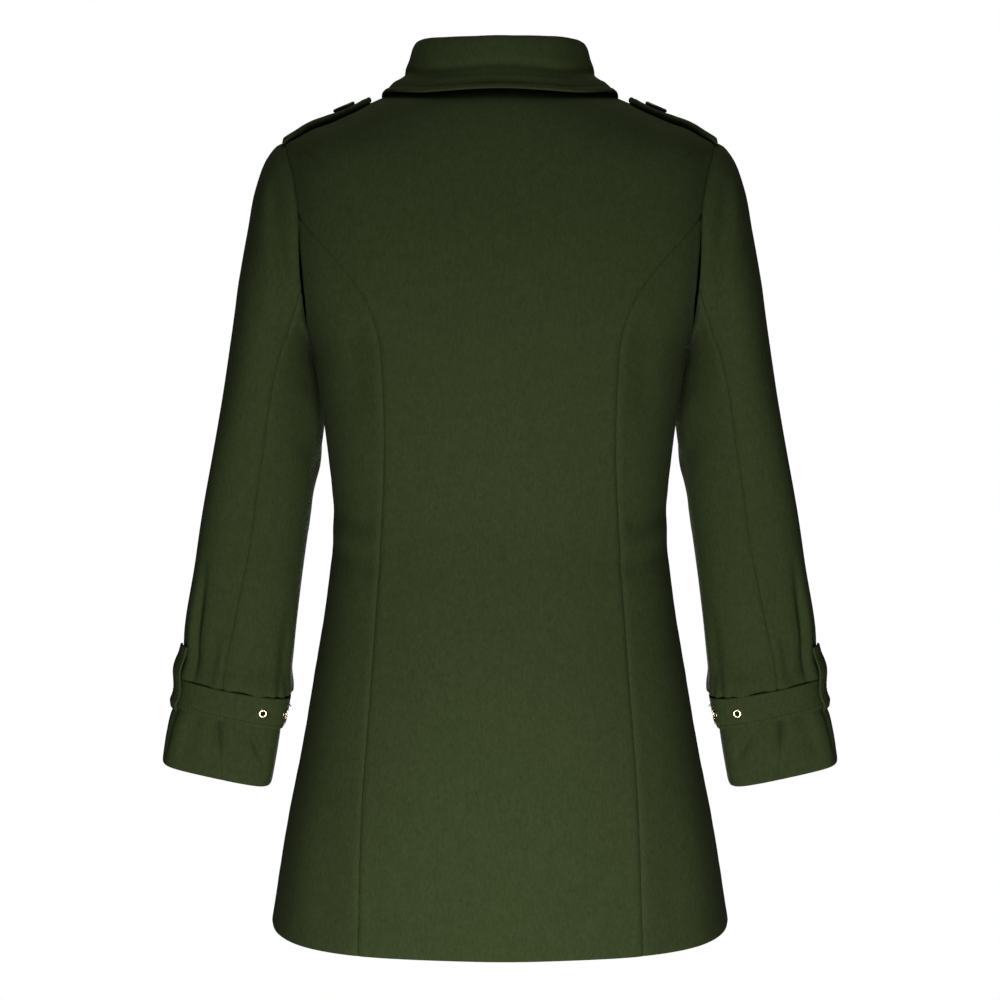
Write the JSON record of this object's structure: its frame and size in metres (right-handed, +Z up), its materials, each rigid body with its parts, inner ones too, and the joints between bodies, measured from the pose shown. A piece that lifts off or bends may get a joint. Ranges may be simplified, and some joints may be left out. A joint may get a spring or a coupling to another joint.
{
  "type": "wool coat",
  "caption": "Thigh-length woman's wool coat in its worn, hollow form, with turn-down collar, buttoned front, shoulder tabs, and set-in sleeves with buckled cuff straps.",
  "frame": {"origin": "midway between the two neck points, where the shoulder seams meet the collar", "axes": "+Z up, +X to the wearer's left, -Y to the wearer's front"},
  "size_m": [0.6298, 0.2872, 0.8219],
  "materials": {
    "wool": "matt, brushed",
    "button": "polished",
    "metal": "polished, pale"
  },
  "bodies": {
    "root": {"back_centre": "wool", "back_side_left": "wool", "back_side_right": "wool", "front_left": "wool", "front_right": "wool", "sleeve_top_left": "wool", "sleeve_top_right": "wool", "sleeve_under_left": "wool", "sleeve_under_right": "wool", "collar": "wool", "shoulder_tab_left": "wool", "shoulder_tab_right": "wool", "cuff_strap_left": "wool", "cuff_strap_right": "wool", "cuff_loop_left": "wool", "cuff_loop_right": "wool", "eyelet_left_a": "metal", "eyelet_left_b": "metal", "eyelet_left_c": "metal", "eyelet_right_a": "metal", "eyelet_right_b": "metal", "eyelet_right_c": "metal", "buckle_left": "metal", "buckle_right": "metal", "buckle_prong_left": "metal", "buckle_prong_right": "metal", "shoulder_button_left": "button", "shoulder_button_right": "button", "front_button_1": "button", "front_button_2": "button", "front_button_3": "button", "front_button_4": "button", "front_button_5": "button", "front_button_6": "button"}
  },
  "joints": []
}
